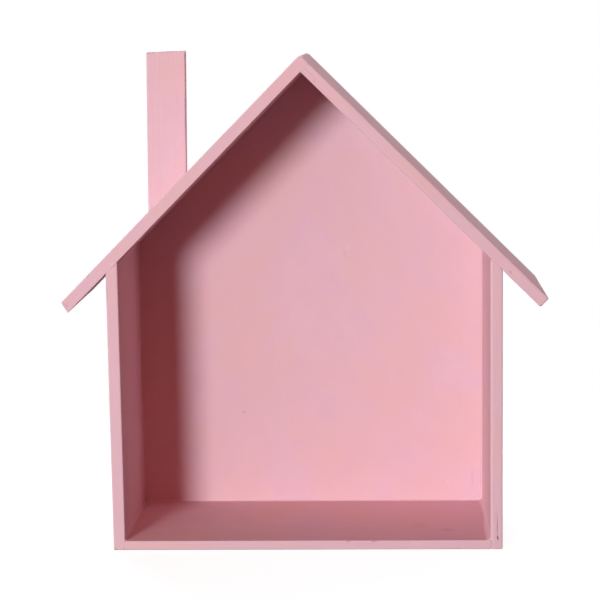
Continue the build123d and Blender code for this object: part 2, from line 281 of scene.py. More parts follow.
def block_lattice(places):
    """Grids on the six sides of a block, from its places along three axes. The edges share their points."""
    counts = [len(axis) for axis in places]
    quads = []
    for axis in range(3):
        across, along = (axis + 1) % 3, (axis + 2) % 3
        grid = np.zeros((counts[across], counts[along], 3), int)
        grid[..., across] = np.arange(counts[across])[:, None]
        grid[..., along] = np.arange(counts[along])[None, :]
        for side in (0, counts[axis] - 1):
            grid[..., axis] = side
            number = (grid[..., 0] * counts[1] + grid[..., 1]) * counts[2] + grid[..., 2]
            quad = np.stack([number[:-1, :-1], number[1:, :-1], number[1:, 1:], number[:-1, 1:]], -1)
            quad = quad.reshape(-1, 4)
            quads.append(quad if side else quad[:, ::-1])
    used, quads = np.unique(np.concatenate(quads), return_inverse=True)
    index = np.stack([used // (counts[1] * counts[2]), used // counts[2] % counts[1], used % counts[2]], 1)
    points = np.stack([places[axis][index[:, axis]] for axis in range(3)], 1)
    return points, quads.reshape(-1, 4)


def rounded(points, size, low, high):
    """Each point moves to the nearest point of the block less its roundings, then out by the rounding."""
    core = np.clip(points, low, size - high)
    out = points - core
    radius = np.where(out < 0, low, high)
    way = out / radius
    way /= np.linalg.norm(way, axis=1, keepdims=True)
    return core + way * radius, way


def waves(points, length, seed):
    """Sum of five sines with random directions and phases, about -1 to 1, as hand sanding leaves a board."""
    dice = np.random.default_rng(seed)
    total = np.zeros(points.shape[:-1])
    for _ in range(WAVE_COUNT):
        direction = dice.normal(size=3)
        direction *= 2 * pi / (length * dice.uniform(*WAVE_SPREAD) * np.linalg.norm(direction))
        total += np.sin(points @ direction + dice.uniform(0, 2 * pi))
    return total / WAVE_SCALE


def mark_fields(points, marks):
    """Sum over the marks of a height, and of a colour value, times exp(-distance squared), counted in
    reaches.
    A mark is a centre, a reach along each axis, a height that is a dent below zero, and a colour value that
    is dark above zero, grime in most marks and painted shade in two, under the left eave and beside the
    chimney, and thin pale paint below zero."""
    relief = np.zeros(len(points))
    stain_and_shade = np.zeros(len(points))
    for centre, reach, height, colour in marks:
        bell = np.exp(-(((points - centre) / reach) ** 2).sum(1))
        relief += height * bell
        stain_and_shade += colour * bell
    return relief, np.clip(stain_and_shade, -1, 1)


def outward_turn(points, quads):
    """1 where the quads turn outwards, by the sign of the volume that they hold, and -1 where they don't."""
    corners = [points[quads[:, at]] for at in (0, 1, 2, 3)]
    volume = np.cross(corners[2] - corners[0], corners[3] - corners[1]) * (corners[0] - points.mean(0))
    return 1 if volume.sum() > 0 else -1


def mesh_from(name, points, faces, fields=None):
    """Smooth mesh from millimetre points and faces, with the fields that its material reads."""
    mesh = bpy.data.meshes.new(name)
    mesh.from_pydata(points * MM, [], faces)
    mesh.shade_smooth()
    for key, values in (fields or {}).items():
        kind, slot = ("FLOAT", "value") if values.ndim == 1 else ("FLOAT_VECTOR", "vector")
        mesh.attributes.new(key, kind, "POINT").data.foreach_set(slot, values.ravel())
    return mesh


def board_mesh(name, size, axes, origin, low, high, steps, marks=(), shape=None, bare=None, seed=0):
    """Board from a rounded block, with waves and marks in its faces, cut to shape and set on its axes.
    Low and high are the roundings of its sides, bare says how far the board shows through the paint, and
    the seed shifts the paint's pattern, so that no two boards are alike."""
    size, low, high = np.array(size, float), np.array(low, float), np.array(high, float)
    gathered = [[(centre[axis], reach[axis]) for centre, reach, _, _ in marks] for axis in range(3)]
    places = [ticks(size[axis], low[axis], high[axis], steps[axis], gathered[axis]) for axis in range(3)]
    flat, quads = block_lattice(places)
    points, way = rounded(flat, size, low, high)
    arris = 1 - np.abs(way).max(1)
    relief, stain_and_shade = mark_fields(flat, marks)
    worn = WAVE_HEIGHT * (waves(points, WAVE_LENGTH, seed) - 1) * (FACE_WAVE + ARRIS_WAVE * arris)
    points = points + way * (relief + worn)[:, None]
    pattern_shift = seed * CLOUD_SIZE ** 2
    fields = {"grain": (points + pattern_shift) * MM, "arris": arris, "stain_and_shade": stain_and_shade,
              "bare": np.zeros(len(points)) if bare is None else bare(flat)}
    shaped = points if shape is None else shape(points)
    placed = np.array(origin) + shaped @ np.array(axes, float)
    return mesh_from(name, placed, quads[:, ::outward_turn(placed, quads)], fields)


def add_piece(name, mesh, material, body, slot, *replaced):
    """Object at the origin with its material, riding on a body and standing for the CAD nodes named."""
    mesh.materials.append(material)
    piece = bpy.data.objects.new(name, mesh)
    bpy.context.scene.collection.objects.link(piece)
    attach(piece, body)
    if replaced:
        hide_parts(*replaced)
    return piece


def patches(tree, place, sizes, detail):
    """Soft uneven patches, about 0 to 1, with the given sizes in millimetres along the three axes."""
    spread = add_node(tree, "ShaderNodeMapping", {"Scale": [1 / (size * MM) for size in sizes]},
                      {"Vector": place})
    return add_node(tree, "ShaderNodeTexNoise", {"Scale": 1.0, "Detail": detail, "Roughness": 0.55},
                    {"Vector": spread.outputs[0]}).outputs[0]


def coated(tree, first, coats):
    """Colour that is laid over the first one coat by coat. A coat has a value, the range in which it grows,
    how strong it gets from the low to the high end, and its own colour."""
    tone = {}
    for value, (low, high), (at_low, at_high), colour in coats:
        strength = add_node(tree, "ShaderNodeMapRange",
                            {"From Min": low, "From Max": high, "To Min": at_low, "To Max": at_high},
                            {"Value": value})
        mix = add_node(tree, "ShaderNodeMix",
                       {"data_type": "RGBA", MIX_A: linear(first), MIX_B: linear(colour)},
                       {MIX_FACTOR: strength.outputs[0], **tone})
        tone = {MIX_A: mix.outputs[MIX_RESULT]}
    return tone[MIX_A]


def raised(tree, layers):
    """Normal after fine reliefs on top of each other, each with its size in millimetres and strength."""
    below = {}
    for height, distance, strength in layers:
        bump = add_node(tree, "ShaderNodeBump", {"Strength": strength, "Distance": distance * MM},
                        {"Height": height, **below})
        below = {"Normal": bump.outputs[0]}
    return below["Normal"]


def finished(material, settings, links, unevenness, roughness):
    """Ends a material in its shader, whose roughness follows an unevenness between two values."""
    tree = material.node_tree
    dull = add_node(tree, "ShaderNodeMapRange",
                    {"From Min": NOISE_CONTRAST[0], "From Max": NOISE_CONTRAST[1],
                     "To Min": roughness[0], "To Max": roughness[1]}, {"Value": unevenness})
    shader = add_node(tree, "ShaderNodeBsdfPrincipled", settings,
                      {"Roughness": dull.outputs[0], **links})
    add_node(tree, "ShaderNodeOutputMaterial", {}, {"Surface": shader.outputs[0]})
    return material


def matt_paint(name, brushed):
    """Matt water-based paint. Streaks a bristle bundle wide run along the grain, as strong as it is brushed,
    and uneven thickness gives soft cooler and warmer clouds. The paint is pale where it is thin, as on the
    arrises, the board shows where it is thinner still, dust nibs stand in it, and a tooth dulls its gloss."""
    material = new_material(name)
    tree = material.node_tree
    fields = {key: add_node(tree, "ShaderNodeAttribute", {"attribute_name": key})
              for key in ("grain", "stain_and_shade", "arris", "bare")}
    grain = fields["grain"].outputs["Vector"]
    stain_and_shade, arris, bare = [fields[key].outputs["Fac"] for key in ("stain_and_shade", "arris", "bare")]
    streaks = patches(tree, grain, (STREAK_LENGTH, STREAK_WIDTH, STREAK_WIDTH), 4)
    clouds = patches(tree, grain, [CLOUD_SIZE] * 3, 3)
    bloom = patches(tree, grain, [BLOOM_SIZE] * 3, 1)
    tooth = patches(tree, grain, [TOOTH_SIZE] * 3, 2)
    spots = add_node(tree, "ShaderNodeMapping", {"Scale": [1 / (NIB_SPACING * MM)] * 3}, {"Vector": grain})
    spots = add_node(tree, "ShaderNodeTexVoronoi", {"Scale": 1.0}, {"Vector": spots.outputs[0]})
    nibs = add_node(tree, "ShaderNodeMapRange",
                    {"From Min": 0.0, "From Max": NIB_RADIUS / NIB_SPACING, "To Min": 1.0, "To Max": 0.0},
                    {"Value": spots.outputs["Distance"]}).outputs[0]
    thin = add_node(tree, "ShaderNodeMapRange",
                    {"From Min": NOISE_CONTRAST[0], "From Max": NOISE_CONTRAST[1], "To Min": THIN_SHARE},
                    {"Value": clouds})
    show = add_node(tree, "ShaderNodeMath", {"operation": "MULTIPLY"}, {0: bare, 1: thin.outputs[0]})
    tone = coated(tree, COOL_PINK, [
        (clouds, NOISE_CONTRAST, (0.0, 0.85), PINK),
        (bloom, NOISE_CONTRAST, (0.0, 0.75), WARM_PINK),
        (streaks, (0.4, 0.85), (0.0, 0.5 * brushed), THIN_PINK),
        (nibs, (0.2, 1.0), (0.0, 0.6), THIN_PINK),
        (arris, (0.0, 0.3), (0.0, 0.45), THIN_PINK),
        (show.outputs[0], (0.0, 1.0), (0.0, 1.0), FIBREBOARD),
        (stain_and_shade, (-1.0, 0.0), (1.0, 0.0), THIN_PINK),
        # Dark marks: grime, and painted shade under the left eave and painted shadow of the chimney on the
        # left roof's upper edge
        (stain_and_shade, (0.0, 1.0), (0.0, 1.0), GRIME_AND_PAINTED_SHADE),
    ])
    normal = raised(tree, [(streaks, STREAK_RELIEF, brushed), (nibs, NIB_RELIEF, 1.0),
                           (tooth, TOOTH_RELIEF, 1.0)])
    return finished(material, {"IOR": PAINT_IOR, "Specular IOR Level": PAINT_GLOSS_LEVEL},
                    {"Base Color": tone, "Normal": normal}, clouds, PAINT_ROUGHNESS)


def stretched(points, share):
    """Points of a board, each moved along it to a share of its place."""
    return np.concatenate([points[:, :1] * share[:, None], points[:, 1:]], 1)


def wall_top(points):
    """The wall's height grows by one for each step inwards, which bevels its top at 45 degrees."""
    inwards = np.clip(points[:, 1], 0, wall_thickness)
    return stretched(points, (wall_outer_height + inwards) / (wall_outer_height + wall_thickness))


def side_wall(side, inner_arris, marks):
    """Side wall. Its own coordinates run up from its foot, in from its outer face, and back."""
    size = (wall_outer_height + wall_thickness, wall_thickness, cubby_depth)
    return board_mesh("wall", size, ((0, 0, 1), (-side, 0, 0), (0, 1, 0)), (side * half_width, front, 0),
                      (ARRIS, ARRIS, ARRIS), (JOINT_ARRIS, inner_arris, JOINT_ARRIS), (ALONG, THROUGH, BACK),
                      marks, wall_top, seed=3 + side)


FILLER_DISH, FILLER_STAIN = -0.12, 0.05
FLOOR_BRADS_BACK = (18.0, 80.0)
FLOOR_BRADS_HEIGHT = 2.9


def filled_brads(along, through, backs, reach):
    """Marks of the filler over sunk brads: shallow dishes that show a little through the paint."""
    return [((along, through, back), (reach, 1.0, reach), FILLER_DISH, FILLER_STAIN) for back in backs]


left_wall_marks = [
    *filled_brads(FLOOR_BRADS_HEIGHT, 0.0, FLOOR_BRADS_BACK, 1.6),
    ((0.4, 0.9, 0.0), (0.5, 1.1, 0.7), -0.15, 0.75),
    ((0.5, 7.2, 0.0), (0.6, 0.4, 0.7), -0.15, 0.65),
    # Dark stain down the outer front arris just under the eave: painted shade of the eave, over a shallow
    # dent
    ((168.0, 0.6, 0.0), (6.0, 0.5, 0.8), -0.10, 0.25),
    ((120.0, 7.4, 20.0), (9.0, 1.0, 7.0), -0.08, 0.06),
    ((60.0, 0.0, 55.0), (14.0, 1.0, 5.0), -0.06, 0.05),
]
right_wall_marks = [
    *filled_brads(FLOOR_BRADS_HEIGHT, 0.0, FLOOR_BRADS_BACK, 1.6),
    ((14.4, 3.2, 0.0), (5.6, 0.20, 0.9), -0.45, 0.55),
    ((7.6, 3.0, 0.0), (0.9, 0.40, 0.9), -0.50, 0.95),
    ((6.4, 2.6, 0.0), (0.7, 0.30, 0.9), -0.30, 0.60),
    ((21.0, 3.8, 0.0), (3.0, 0.9, 0.9), -0.10, 0.10),
    ((28.0, 7.4, 96.0), (9.0, 1.0, 1.2), 0.25, -0.3),
    ((96.0, 0.0, 30.0), (10.0, 1.0, 8.0), -0.08, 0.03),
]
pink_paint = matt_paint("brushed_matt_pink_paint", brushed=0.8)


def add_board(name, mesh, node_name):
    """Board in the brushed paint, fixed to the shelf, that stands for its CAD node."""
    add_piece(name, mesh, pink_paint, "shelf", "painted_board", node_name)


add_board("left_side_wall_painted", side_wall(-1, ARRIS, left_wall_marks), "left_side_wall")
add_board("right_side_wall_painted", side_wall(1, SOFT_ARRIS, right_wall_marks), "right_side_wall")


# Floor board
# A thinner board, held between the walls by brads. Its ends show as a fine line against the walls, and
# things that were stood in the cubby have nicked its front edge and smudged its top.
floor_size = (floor_high.x - floor_low.x, floor_high.z - floor_low.z, cubby_depth)
floor_top = floor_size[1]
floor_marks = [
    ((138.1, floor_top, 0.0), (1.3, 0.9, 1.0), -0.40, 0.28),
    ((135.6, floor_top, 0.0), (0.9, 0.6, 0.9), 0.10, -0.5),
    ((153.8, floor_top, 0.0), (1.7, 1.0, 1.1), -0.45, 0.30),
    ((150.6, floor_top, 0.0), (1.0, 0.7, 0.9), 0.12, -0.4),
    ((177.7, floor_top, 0.0), (0.8, 1.8, 0.8), -0.25, -0.6),
    ((178.8, floor_top, 0.0), (0.6, 1.4, 0.8), -0.20, 0.15),
    ((182.7, floor_top, 34.0), (5.0, 1.0, 5.0), 0.0, 0.10),
    ((199.3, floor_top, 24.0), (4.5, 1.0, 3.6), 0.0, 0.15),
    ((63.7, floor_top, 31.0), (4.2, 1.0, 1.8), 0.04, -0.35),
    ((88.0, floor_top, 70.0), (9.0, 1.0, 4.0), -0.04, 0.04),
    ((20.0, 0.0, 0.0), (5.0, 0.6, 0.8), -0.12, 0.20),
    ((204.0, 0.0, 0.0), (7.0, 0.6, 0.8), -0.12, 0.20),
]
floor_mesh = board_mesh("floor", floor_size, ((1, 0, 0), (0, 0, 1), (0, 1, 0)),
                        (floor_low.x, front, floor_low.z), (JOINT_ARRIS, ARRIS, ARRIS),
                        (JOINT_ARRIS, ARRIS, JOINT_ARRIS), (ALONG, THROUGH, BACK), floor_marks, None, seed=7)
add_board("floor_board_painted", floor_mesh, "floor_board")


# Back panel
# A thin fibreboard sheet, nailed over the back edges of the walls and the floor and let in under the roof.
# Its front has both coats of paint, rolled on, and its back one thin coat that the sheet shows through.
PANEL_STEP, PANEL_THROUGH = 3.2, 1.0
PANEL_ARRIS, PANEL_FRONT_ARRIS = 0.4, 0.3
PIN_HEIGHTS = (32.0, 100.0, 168.0)
PIN_SPREAD = (-70.0, 0.0, 70.0)
PIN_REACH = (1.5, 1.5, 1.0)
PIN_STAIN = 0.12
BARE_DEPTH = 0.5
PIN_DISH = -0.14
REAR_BARE = 0.34
panel_size = (inner_ridge, 2 * half_width, panel_high.y - panel_low.y)
panel_thickness = panel_size[2]
wall_middle = half_width - wall_thickness / 2
pin_places = [(side * wall_middle, z) for side in (-1, 1) for z in PIN_HEIGHTS]
pin_places += [(x, floor_high.z / 2) for x in PIN_SPREAD]


def gable(points):
    """The panel's height falls by one for each step away from the middle."""
    return stretched(points, (inner_ridge - np.abs(points[:, 1] - half_width)) / inner_ridge)


def panel_bare(points):
    """The sheet shows through on the last half millimetre of the panel's thickness."""
    return REAR_BARE * np.clip((points[:, 2] - panel_thickness + BARE_DEPTH) / BARE_DEPTH, 0, 1)


def panel_mark(x, z, back, reach, height, stain_and_shade):
    """Mark at a place on the panel, put back into the block that the gable is cut from."""
    stretch = inner_ridge / (inner_ridge - abs(x))
    return ((z * stretch, x + half_width, back), (reach[0] * stretch, reach[1], reach[2]), height, stain_and_shade)


panel_marks = [panel_mark(x, z, panel_thickness, PIN_REACH, PIN_DISH, PIN_STAIN) for x, z in pin_places]
panel_marks += [
    panel_mark(25.3, 175.4, 0.0, (1.7, 0.8, 1.0), 0.12, -0.5),
    panel_mark(23.0, 172.0, 0.0, (1.2, 0.8, 1.0), -0.08, 0.10),
    panel_mark(-45.0, 66.4, 0.0, (0.7, 0.9, 1.0), -0.10, 0.28),
    panel_mark(89.9, 18.2, 0.0, (1.6, 1.0, 1.0), 0.06, -0.35),
    panel_mark(104.6, 24.0, 0.0, (9.0, 0.5, 1.0), 0.14, -0.2),
    panel_mark(106.2, 22.0, 0.0, (10.0, 0.5, 1.0), -0.10, 0.06),
    panel_mark(50.0, 7.9, 0.0, (0.5, 6.0, 1.0), 0.10, 0.05),
    panel_mark(-8.0, 120.0, 0.0, (26.0, 14.0, 1.0), 0.05, -0.05),
]
panel_mesh = board_mesh("panel", panel_size, ((0, 0, 1), (1, 0, 0), (0, 1, 0)), (-half_width, panel_low.y, 0),
                        (PANEL_ARRIS, PANEL_ARRIS, PANEL_FRONT_ARRIS),
                        (JOINT_ARRIS, PANEL_ARRIS, PANEL_ARRIS), (PANEL_STEP, PANEL_STEP, PANEL_THROUGH),
                        panel_marks, gable, panel_bare, seed=11)
rolled_paint = matt_paint("rolled_matt_pink_paint", brushed=0.25)
add_piece("back_panel_painted", panel_mesh, rolled_paint, "shelf", "painted_panel", "back_panel")


# Roof boards
# The left board laps over the right one at the ridge and is nailed into it, and both are nailed down into
# the walls. The left eave is sawn a little out of square, and the upper edges are knocked in places.
ROOF_THICKNESS = 7.3
EAVE_TIP = 147.7
LEFT_EAVE_CUT_DEG = 14.0
EAVE_BRADS_BACK = (16.0, 82.0)
RIDGE_BRADS_BACK = (14.0, 51.0, 88.0)
slope = 1 / sqrt(2)
roof_depth = panel_high.y - front
roof_length = EAVE_TIP / slope - ROOF_THICKNESS
lapped_length = roof_length + ROOF_THICKNESS
cut_rise = tan(radians(LEFT_EAVE_CUT_DEG))
eave_brad_along = (wall_middle + ROOF_THICKNESS * slope) / slope


def eave_cut(points):
    """The left board's length grows towards its underside, by the tangent of the saw's error."""
    return stretched(points, 1 + (ROOF_THICKNESS - points[:, 1]) * cut_rise / lapped_length)


left_roof_marks = [
    *filled_brads(eave_brad_along + ROOF_THICKNESS, ROOF_THICKNESS, EAVE_BRADS_BACK, 1.7),
    *filled_brads(ROOF_THICKNESS / 2, ROOF_THICKNESS, RIDGE_BRADS_BACK, 1.6),
    ((173.4, ROOF_THICKNESS, 0.0), (1.2, 1.0, 1.0), -0.45, 0.22),
    ((179.3, ROOF_THICKNESS, 0.0), (0.9, 0.8, 1.0), -0.35, 0.18),
    ((185.0, ROOF_THICKNESS, 0.0), (1.5, 0.9, 1.0), -0.40, 0.22),
    # Dark stain along the upper front arris right of the chimney: painted shadow of the chimney, over a
    # shallow dent
    ((76.0, ROOF_THICKNESS, 0.0), (17.0, 0.6, 0.9), -0.12, 0.16),
    ((168.5, 0.0, 0.0), (1.8, 1.4, 1.6), 0.60, -0.3),
    ((0.0, ROOF_THICKNESS, 50.0), (1.6, 1.6, 300.0), -0.70, -0.1),
    ((207.0, 3.0, 0.0), (1.4, 1.6, 1.0), -0.20, 0.10),
    ((120.0, ROOF_THICKNESS, 60.0), (16.0, 1.0, 9.0), -0.06, 0.05),
]
left_roof = board_mesh("left_roof", (lapped_length, ROOF_THICKNESS, roof_depth),
                       ((-slope, 0, -slope), (-slope, 0, slope), (0, 1, 0)),
                       (ROOF_THICKNESS * slope, front, inner_ridge + ROOF_THICKNESS * slope),
                       (ARRIS, JOINT_ARRIS, ARRIS), (ARRIS, ARRIS, ARRIS), (ALONG, THROUGH, BACK),
                       left_roof_marks, eave_cut, seed=17)
add_board("left_roof_painted", left_roof, "left_roof_board")

right_roof_marks = [
    *filled_brads(eave_brad_along, ROOF_THICKNESS, EAVE_BRADS_BACK, 1.7),
    ((9.6, 2.3, 0.0), (0.8, 0.6, 0.8), -0.15, 0.20),
    ((174.0, 2.6, 0.0), (0.9, 0.7, 0.8), -0.20, 0.25),
    ((5.0, 3.4, 0.0), (5.0, 0.3, 0.8), -0.15, 0.12),
    ((64.0, ROOF_THICKNESS, 0.0), (9.0, 0.7, 0.9), -0.15, -0.4),
    ((128.0, ROOF_THICKNESS, 0.0), (12.0, 0.6, 0.9), -0.12, 0.12),
    ((198.0, ROOF_THICKNESS, 60.0), (2.0, 1.0, 12.0), -0.15, 0.18),
    ((90.0, ROOF_THICKNESS, 40.0), (20.0, 1.0, 10.0), -0.06, 0.04),
    ((30.0, ROOF_THICKNESS, 75.0), (12.0, 1.0, 8.0), -0.05, 0.05),
]
right_roof = board_mesh("right_roof", (roof_length, ROOF_THICKNESS, roof_depth),
                        ((slope, 0, -slope), (slope, 0, slope), (0, 1, 0)), (0, front, inner_ridge),
                        (JOINT_ARRIS, ARRIS, ARRIS), (ARRIS, ARRIS, ARRIS), (ALONG, THROUGH, BACK),
                        right_roof_marks, None, seed=23)
add_board("right_roof_painted", right_roof, "right_roof_board")


# Chimney plank
# A flat plank with a sloping foot, glued and nailed half way back on the left slope. It leans a little.
CHIMNEY_WIDTH = 24.2
CHIMNEY_LEAN_DEG = 0.75
CHIMNEY_TOP_RISE = 0.8
CHIMNEY_LEFT = -97.5
CHIMNEY_TOP = 304.7
CHIMNEY_STEP = 1.2
chimney_low, chimney_high = node_corners("chimney_plank")
chimney_size = (chimney_high.z - chimney_low.z, CHIMNEY_WIDTH, chimney_high.y - chimney_low.y)
outer_ridge = inner_ridge + ROOF_THICKNESS / slope


def chimney_shape(points):
    """Each upright line of the plank runs from the roof's slope to the sloping top and leans to the right."""
    lean = tan(radians(CHIMNEY_LEAN_DEG))
    top_x = CHIMNEY_LEFT + points[:, 1]
    top_z = CHIMNEY_TOP + CHIMNEY_TOP_RISE * points[:, 1] / CHIMNEY_WIDTH
    foot_x = (top_x - (top_z - outer_ridge) * lean) / (1 - lean)
    foot_z = outer_ridge + foot_x
    share = points[:, 0] / chimney_size[0]
    return np.stack([foot_z + (top_z - foot_z) * share, foot_x + (top_x - foot_x) * share, points[:, 2]], 1)


chimney_marks = [
    ((chimney_size[0], 2.0, 0.0), (0.9, 3.0, 0.9), -0.20, 0.20),
    ((chimney_size[0], 15.0, 0.0), (0.7, 5.0, 0.8), -0.10, 0.15),
    ((44.0, CHIMNEY_WIDTH, 0.0), (16.0, 0.6, 0.9), -0.10, 0.14),
    ((70.0, 9.0, 0.0), (9.0, 5.0, 1.0), 0.03, -0.1),
]
chimney_mesh = board_mesh("chimney", chimney_size, ((0, 0, 1), (1, 0, 0), (0, 1, 0)), (0, chimney_low.y, 0),
                          (JOINT_ARRIS, ARRIS, ARRIS), (ARRIS, ARRIS, ARRIS), (ALONG, CHIMNEY_STEP, THROUGH),
                          chimney_marks, chimney_shape, seed=33)
add_board("chimney_plank_painted", chimney_mesh, "chimney_plank")


# Paint in the inner corners
# The brush leaves a bead of paint along every inner corner of the cubby, fattest where two coats ran
# together at the lower right, and the paint fills the seams of the front and the ridge.
BEAD_RADIUS = 1.0
BEAD_STEP = 1.5
BEAD_ARC_STEPS = 6
BEAD_BURIED = 0.12
BEAD_UNEVENNESS = 0.35
LEAST_ROWS = 8
FILL_HALF_WIDTH = 0.9
FILL_COLUMNS = 9
FILL_CROWN = 0.12
FILL_LEVEL = -0.09
CREASE_LEVEL = -0.15
SEAM_START, SEAM_STOP, SEAM_CLEAR = 0.3, 0.5, 0.9
FAT_BEAD_RADIUS = 2.4
FIRST_BEAD_SEED = 41
inner_face = half_width - wall_thickness
inner_eave = inner_ridge - inner_face
FORWARD, LEFT, RIGHT, UP = (0, -1, 0), (-1, 0, 0), (1, 0, 0), (0, 0, 1)


def skin(points, closed=False):
    """Faces of a grid whose rows run round a section. Rows are joined end to end, or capped when open."""
    rows, columns = points.shape[:2]
    number = np.arange(rows * columns).reshape(rows, columns)
    if closed:
        number = np.concatenate([number, number[:1]])
    following = np.roll(number, -1, 1)
    quads = np.stack([number[:-1], following[:-1], following[1:], number[1:]], -1).reshape(-1, 4)
    caps = [] if closed else [number[0][::-1].tolist(), number[-1].tolist()]
    return quads, caps


def swept_mesh(name, grids, closed=False):
    """One mesh from grids of points, each skinned and turned outwards."""
    vertices, faces, count = [], [], 0
    for points in grids:
        quads, caps = skin(points, closed)
        flat = points.reshape(-1, 3)
        turn = outward_turn(flat, quads)
        faces += (quads[:, ::turn] + count).tolist()
        faces += [[corner + count for corner in cap[::turn]] for cap in caps]
        vertices.append(flat)
        count += len(flat)
    return mesh_from(name, np.concatenate(vertices), faces)


def rows_between(start, end):
    """Even places along a line of paint, from its start to its end."""
    start, end = np.array(start, float), np.array(end, float)
    rows = max(LEAST_ROWS, int(np.linalg.norm(end - start) / BEAD_STEP))
    return start + (end - start) * np.linspace(0, 1, rows)[:, None]


def bead(start, end, first, second, radius, seed):
    """Bead along an inner corner: a hollow quarter circle between two faces, its radius waving along it."""
    along = rows_between(start, end)
    size = radius * (1 + BEAD_UNEVENNESS * waves(along, 3 * WAVE_LENGTH / 2, seed))[:, None]
    angle = np.linspace(0, pi / 2, BEAD_ARC_STEPS + 1)
    across = np.concatenate([[-BEAD_BURIED], 1 - np.sin(angle), [-BEAD_BURIED]])
    up = np.concatenate([[-BEAD_BURIED], 1 - np.cos(angle), [1.0]])
    across, up = (across * size)[..., None], (up * size)[..., None]
    return along[:, None, :] + across * np.array(first, float) + up * np.array(second, float)


def seam_fill(start, end, outwards, across, level):
    """Low ridge of paint over a seam: its height is the level plus a parabola that sinks into both boards."""
    along = rows_between(start, end)
    sideways = np.array([*np.linspace(-1, 1, FILL_COLUMNS), 1, -1]) * FILL_HALF_WIDTH
    height = level + FILL_CROWN * (1 - (sideways / FILL_HALF_WIDTH) ** 2)
    height[-2:] = -FILL_HALF_WIDTH
    return along[:, None, :] + sideways[:, None] * np.array(across) + height[:, None] * np.array(outwards)


def front_seams():
    """Filled seams: the ridge lap in front and on top, the floor's two ends, and the walls' tops."""
    lap, wall_eave = ROOF_THICKNESS * slope, inner_eave - wall_thickness
    up_right, down_right = (slope, 0, slope), (slope, 0, -slope)
    return [
        seam_fill((SEAM_START, front, inner_ridge + SEAM_START),
                  (lap - SEAM_STOP, front, inner_ridge + lap - SEAM_STOP), FORWARD, down_right, FILL_LEVEL),
        seam_fill((lap, front + ARRIS, inner_ridge + lap), (lap, panel_high.y - ARRIS, inner_ridge + lap),
                  up_right, down_right, FILL_LEVEL),
        seam_fill((inner_face, front, ARRIS), (inner_face, front, floor_high.z - SEAM_START), FORWARD, RIGHT,
                  FILL_LEVEL),
        seam_fill((-inner_face, front, ARRIS), (-inner_face, front, floor_high.z - SEAM_STOP), FORWARD,
                  RIGHT, CREASE_LEVEL),
        *[seam_fill((side * (half_width - SEAM_CLEAR), front, wall_eave + SEAM_CLEAR),
                    (side * (inner_face + SEAM_STOP), front, inner_eave - SEAM_STOP), FORWARD,
                    (side * slope, 0, slope), CREASE_LEVEL) for side in SIDES.values()],
    ]


def corner_beads():
    """Beads along the inner corners, each from its start to its end with the directions out of its faces."""
    back, floor_z = panel_low.y, floor_high.z
    under_left, under_right = (slope, 0, -slope), (-slope, 0, -slope)
    left_foot, right_foot = (-inner_face, back, floor_z), (inner_face, back, floor_z)
    left_eave, right_eave = (-inner_face, back, inner_eave), (inner_face, back, inner_eave)
    ridge = (0, back, inner_ridge)
    beads = [
        (left_foot, right_foot, FORWARD, UP, BEAD_RADIUS),
        (left_foot, left_eave, RIGHT, FORWARD, BEAD_RADIUS),
        (right_foot, right_eave, LEFT, FORWARD, BEAD_RADIUS),
        (left_eave, ridge, under_left, FORWARD, BEAD_RADIUS),
        (right_eave, ridge, under_right, FORWARD, BEAD_RADIUS),
        ((-inner_face, front + ARRIS, floor_z), left_foot, RIGHT, UP, BEAD_RADIUS),
        ((inner_face, front + ARRIS / 2, floor_z), right_foot, LEFT, UP, FAT_BEAD_RADIUS),
        ((0, front + ARRIS, inner_ridge), ridge, under_left, under_right, BEAD_RADIUS),
    ]
    return [bead(*places, seed) for seed, places in enumerate(beads, FIRST_BEAD_SEED)]


corner_mesh = swept_mesh("corner_paint", corner_beads() + front_seams())
pooled_paint = matt_paint("pooled_matt_pink_paint", brushed=0.1)
add_piece("corner_paint", corner_mesh, pooled_paint, "shelf", "painted_board")


# Brads
# Thin round nails of bright steel wire, driven through the boards' faces, sunk and filled over before the
# paint. They hold the floor, the roof and the chimney, and none of them shows.
WIRE_GREY = "#A3A5A7"
WIRE_DULL = "#7A7C7E"
DRAW_LINE = 0.25
DRAW_RELIEF = 0.01
DRAW_ROUGHNESS = (0.25, 0.4)
GRIT_SHARE = 1 / 5


def bare_metal(name, bright, dull, patch, roughness, relief):
    """Metal with duller patches of a real size, a roughness range, and a grit a fifth of a patch wide."""
    material = new_material(name)
    tree = material.node_tree
    place = add_node(tree, "ShaderNodeTexCoord").outputs["Object"]
    cloudy = patches(tree, place, [patch] * 3, 3)
    grit = patches(tree, place, [patch * GRIT_SHARE] * 3, 2)
    tone = coated(tree, bright, [(cloudy, NOISE_CONTRAST, (0.0, 1.0), dull)])
    normal = raised(tree, [(grit, relief, 1.0)])
    return finished(material, {"Metallic": 1.0}, {"Base Color": tone, "Normal": normal}, cloudy, roughness)


# Bright drawn wire: a mid grey metal, its gloss broken by fine draw lines
drawn_wire = bare_metal("bright_drawn_steel_wire", WIRE_GREY, WIRE_DULL, DRAW_LINE, DRAW_ROUGHNESS,
                        DRAW_RELIEF)
for node_name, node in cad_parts.items():
    if node_name.endswith("_brads"):
        node.data.materials.clear()
        node.data.materials.append(drawn_wire)


# Back panel pins
# Short wire pins with flat, slightly domed heads, hammered in from behind until the head dents the sheet.
PIN_HEAD_RADIUS, PIN_HEAD_THICKNESS = 1.1, 0.7
PIN_SHANK_RADIUS = 0.5
PIN_LENGTH = 15.0
PIN_DOME, PIN_DOME_STEPS = 0.12, 4
PIN_NECK = 0.1
PIN_TIP_RADIUS, PIN_TIP_LENGTH = 0.02, 1.5
TURNED_COLUMNS = 48


